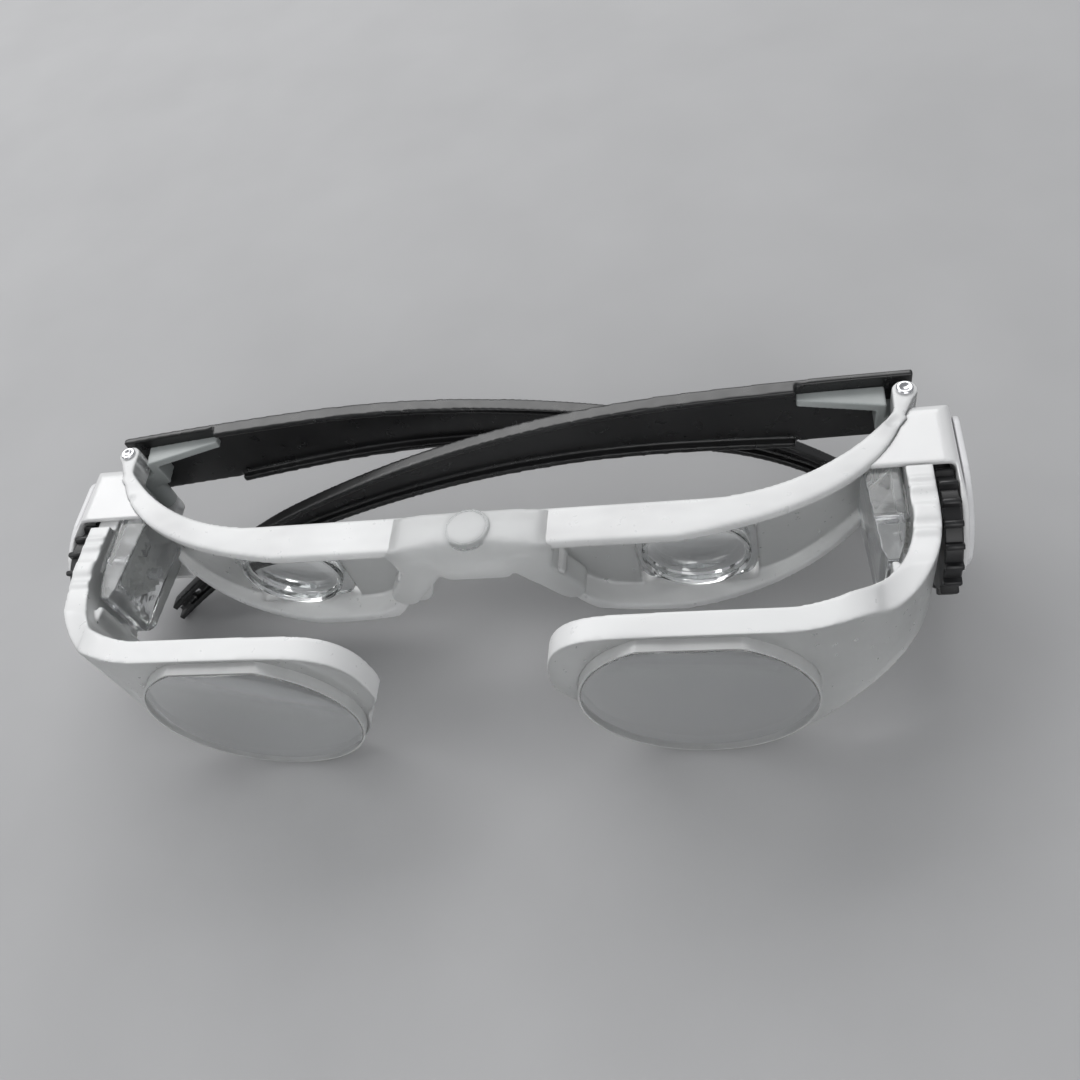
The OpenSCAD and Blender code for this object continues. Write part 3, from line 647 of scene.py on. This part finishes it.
def temple_tree(material):
    """Bowed, tapering channel: a web with a flange along its top and bottom edge."""
    tree, given, output = new_tree("temple_channel", Float=(
        "Length", "Start", "Slot end", "Depth", "Bow", "Hook", "Hook start", "Set back", "Top", "Height",
        "Tip height", "Fall", "Fall start"), Int=("Steps",))
    add, subtract, multiply, divide, multiply_add, highest = (
        partial(formula, tree, name) for name in ("ADD", "SUBTRACT", "MULTIPLY", "DIVIDE", "MULTIPLY_ADD", "MAXIMUM"))
    sheet = tree.nodes.new("GeometryNodeMeshGrid")
    set_inputs(sheet, {"Size X": 1, "Size Y": 1, "Vertices Y": 25})
    tree.links.new(given["Steps"], sheet.inputs["Vertices X"])
    place = split(tree, tree.nodes.new("GeometryNodeInputPosition").outputs["Position"])
    # Distance from the hinge, place up the web, and place out along a flange
    span = subtract(given["Length"], given["Start"])
    distance = multiply_add(add(place["X"], 0.5), span, given["Start"])
    rise = between(tree, place["Y"], 0, 1, -0.25, 0.25)
    out = between(tree, formula(tree, "ABSOLUTE", place["Y"]), 0, 1, 0.25, 0.5)
    # No flanges beside the hinge
    flange = formula(tree, "GREATER_THAN", out, 0.01)
    beside = formula(tree, "LESS_THAN", distance, given["Slot end"])
    trim = tree.nodes.new("GeometryNodeDeleteGeometry")
    trim.domain = "FACE"
    tree.links.new(sheet.outputs["Mesh"], trim.inputs["Geometry"])
    tree.links.new(multiply(flange, beside), trim.inputs["Selection"])
    # Place across: bowed towards the face, and hooked further at its end
    along = divide(distance, given["Length"])
    bow = multiply(given["Bow"], multiply(along, along))
    end = between(tree, distance, 0, 1, given["Hook start"], given["Length"])
    bow = multiply_add(given["Hook"], multiply(end, end), bow)
    across = subtract(given["Set back"], multiply_add(given["Depth"], out, bow))
    # Top edge: level, then falling to the tip
    fallen = highest(subtract(distance, given["Fall start"]), 0)
    fallen = divide(fallen, subtract(given["Length"], given["Fall start"]))
    top = subtract(given["Top"], multiply(given["Fall"], multiply(fallen, fallen)))
    # Height: tapering from the slot to the tip
    tapered = highest(subtract(distance, given["Slot end"]), 0)
    tapered = divide(tapered, subtract(given["Length"], given["Slot end"]))
    taper = formula(tree, "POWER", highest(subtract(1, tapered), 0), 1.2)
    height = multiply_add(subtract(given["Height"], given["Tip height"]), taper, given["Tip height"])
    upright = subtract(top, multiply(height, subtract(1, rise)))
    point = tree.nodes.new("ShaderNodeCombineXYZ")
    for socket, value in zip(point.inputs, (distance, across, upright)):
        tree.links.new(value, socket)
    shaped = tree.nodes.new("GeometryNodeSetPosition")
    tree.links.new(trim.outputs["Geometry"], shaped.inputs["Geometry"])
    tree.links.new(point.outputs["Vector"], shaped.inputs["Position"])
    end_tree(tree, shaped.outputs["Geometry"], material, output)
    return tree


def at_hinge(side):
    """From along a temple, at its hinge, to the drawing."""
    mirrored = Matrix.Scale(SIDES[side], 4, (1, 0, 0))
    turn = Matrix.Rotation(math.radians(-FOLD[side]), 4, "Z")
    return mirrored @ Matrix.Translation((HINGE_X, HINGE_BACK, 0)) @ turn @ Matrix.Scale(-1, 4, (1, 0, 0))


def make_temple(side, tree):
    head, tip = 10.2, 4.4
    values = {"Length": 123.9, "Start": -1.5, "Slot end": 15.4, "Depth": 2.5, "Bow": 12.0, "Hook": 6.5,
              "Hook start": 99.2, "Set back": 3.65, "Top": head - 0.02, "Height": 12.9, "Tip height": tip - 0.1,
              "Fall": head + AXIS_Z - tip, "Fall start": 32.0, "Steps": 160}
    # Strap hole through the web near the tip
    hole_radius, before, behind = 0.8, -25, 5
    drill = turned([(0, before), (hole_radius, before), (hole_radius, behind), (0, behind)],
                   Matrix.Translation((120.6, 0, -12.75)) @ ALONG, 48)
    bm = bmesh.new()
    bm.from_mesh(bored(run_tree(tree, values, "temple_sheet", wall=1.1), from_bmesh(drill, "drill")))
    bmesh.ops.transform(bm, matrix=DRAWN @ at_hinge(side), verts=bm.verts)
    finish_piece(moulded(bm, "temple", 0.22, 7), f"{side}_temple_channel", f"{side}_temple_arm", TEMPLE,
                 [f"{side}_temple"], MOULDED)


# Focus wheels


def rib_shape():
    """One rounded grip rib, standing outwards along X from its foot at the origin."""
    bm = bmesh.new()
    outline = [(-0.4, -0.62), (0.1, -0.5), (0.7, -0.42), (0.86, -0.26), (0.9, 0.0), (0.86, 0.26), (0.7, 0.42),
               (0.1, 0.5), (-0.4, 0.62)]
    layers = []
    for z, grow in ((0.0, 0.86), (0.25, 1.0), (2.15, 1.0), (2.4, 0.86)):
        layers.append([bm.verts.new(Vector((x * (grow if x > 0 else 1), y * grow, z)) * MM) for x, y in outline])
    for a, b in zip(layers, layers[1:]):
        join_loops(bm, a, b)
    bm.faces.new(list(reversed(layers[0])))
    bm.faces.new(layers[-1])
    bmesh.ops.recalc_face_normals(bm, faces=bm.faces)
    return add_object("rib_shape", from_bmesh(bm, "rib_shape"))


def wheel_tree(shape, material):
    """Ribs set round a wheel's rim, in the plane of X and Y."""
    tree, given, output = new_tree("grip_ribs", Int=("Ribs",), Float=("Rim radius",))
    circle = tree.nodes.new("GeometryNodeMeshCircle")
    rib = tree.nodes.new("GeometryNodeObjectInfo")
    rib.inputs["Object"].default_value = shape
    place = tree.nodes.new("GeometryNodeInstanceOnPoints")
    position = tree.nodes.new("GeometryNodeInputPosition")
    align = tree.nodes.new("FunctionNodeAlignEulerToVector")
    align.axis = "X"
    align.pivot_axis = "Z"
    tree.links.new(given["Ribs"], circle.inputs["Vertices"])
    tree.links.new(given["Rim radius"], circle.inputs["Radius"])
    tree.links.new(circle.outputs["Mesh"], place.inputs["Points"])
    tree.links.new(rib.outputs["Geometry"], place.inputs["Instance"])
    tree.links.new(position.outputs["Position"], align.inputs["Vector"])
    tree.links.new(align.outputs["Rotation"], place.inputs["Rotation"])
    end_tree(tree, place.outputs["Instances"], material, output)
    return tree


def make_wheel(side, tree):
    """Focus wheel with a dished face, a raised hub and narrow grip ribs."""
    low, high = drawn_box(f"{side}_focus_wheel")
    rim = (high.z - low.z) / 2 - 0.9
    width = high.x - low.x
    ribs = run_tree(tree, {"Ribs": 18, "Rim radius": rim * MM}, "ribs")
    inner = low.x if side == "right" else high.x
    outwards = Matrix.Scale(SIDES[side], 4, (1, 0, 0))
    place = DRAWN @ Matrix.Translation((inner, (low.y + high.y) / 2, 0)) @ outwards @ ACROSS
    # Dished body of the wheel, turned about its axle
    bore, bevel, dish = 2.0, 0.2, width - 0.6
    profile = [(bore, 0), (rim - bevel, 0), (rim, bevel), (rim, width - bevel), (rim - bevel, width),
               (rim - 1.0, width), (rim - 1.3, width - 0.15), (rim - 1.6, dish), (3.4, dish), (3.1, width - 0.5),
               (2.9, width - 0.1), (2.7, width), (bore, width)]
    bm = turned(profile, Matrix.Scale(MM, 4), 96)
    bm.from_mesh(ribs)
    bpy.data.meshes.remove(ribs)
    bmesh.ops.transform(bm, matrix=place @ Matrix.Scale(1 / MM, 4), verts=bm.verts)
    bmesh.ops.recalc_face_normals(bm, faces=bm.faces)
    finish_piece(from_bmesh(bm, "wheel"), f"{side}_wheel_ribbed", f"{side}_wheel", WHEEL,
                 [f"{side}_focus_wheel"], 35)


# Hinge pins and pieces that stay as drawn


def make_pin(side):
    """Hinge pin with a rounded head that has a shallow dimple."""
    low, high = drawn_box(f"{side}_hinge_pin")
    base, top = low.z, high.z
    shank, head = 0.7, (high.x - low.x) / 2
    profile = [(0, base), (shank - 0.2, base), (shank, base + 0.2), (shank, top - 0.5), (head - 0.15, top - 0.5),
               (head, top - 0.35), (head, top - 0.2), (head - 0.15, top - 0.04), (head - 0.35, top),
               (head - 0.55, top - 0.06), (head - 0.8, top - 0.2), (0, top - 0.25)]
    place = DRAWN @ Matrix.Translation(((low.x + high.x) / 2, (low.y + high.y) / 2, 0))
    finish_piece(from_bmesh(turned(profile, place, 48), "pin"), f"{side}_pin", "front", STEEL,
                 [f"{side}_hinge_pin"], 30)


def finish_node(node, material):
    """Gives a CAD node that stays as drawn its material."""
    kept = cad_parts[node]
    kept.data.materials.clear()
    kept.data.materials.append(material)


make_frame()
make_saddle()
rib = rib_shape()
grip = wheel_tree(rib, WHEEL)
channel = temple_tree(TEMPLE)
for side in SIDES:
    make_arm(side)
    make_shells(side)
    make_objective(side)
    make_ocular(side)
    make_wheel(side, grip)
    make_temple(side, channel)
    make_pin(side)
    finish_node(f"{side}_wheel_axle", STEEL)
    finish_node(f"{side}_focus_rack", DRIVE)
    finish_node(f"{side}_focus_pinion", DRIVE)
finish_node("cover_screws", STEEL)
bpy.data.objects.remove(rib)


# Floor and light


def make_floor():
    bm = bmesh.new()
    bmesh.ops.create_grid(bm, x_segments=1, y_segments=1, size=1.5)
    floor = add_object("floor", from_bmesh(bm, "floor"))
    floor.location.z = -0.00005
    material, tree, shader = new_material("pale_floor")
    colour(tree, shader, 30, (0.47, 0.47, 0.475), (0.50, 0.50, 0.505))
    set_inputs(shader, {"Roughness": 0.8, "Specular IOR Level": 0.2})
    floor.data.materials.append(material)


def make_light():
    """A wide window behind the object, whose light the level edges throw to the camera, and two soft fills."""
    world = bpy.data.worlds.new("studio")
    bpy.context.scene.world = world
    world.use_nodes = True
    set_inputs(world.node_tree.nodes["Background"], {"Color": (0.95, 0.97, 1.0, 1), "Strength": 0.32})
    for name, place, width, height, power in (("window", (-0.16, 0.45, 0.5), 0.9, 0.35, 3.2),
                                              ("side", (-0.5, -0.1, 0.4), 0.4, 0.4, 0.6),
                                              ("front", (0.2, -0.55, 0.4), 0.5, 0.5, 1.3)):
        light = bpy.data.lights.new(name, "AREA")
        light.shape = "RECTANGLE"
        light.size = width
        light.size_y = height
        light.energy = power
        lamp = add_object(name, light)
        lamp.location = place
        lamp.rotation_mode = "QUATERNION"
        lamp.rotation_quaternion = (-Vector(place)).to_track_quat("-Z", "Y")


make_floor()
make_light()
bpy.context.scene.view_settings.view_transform = "Standard"
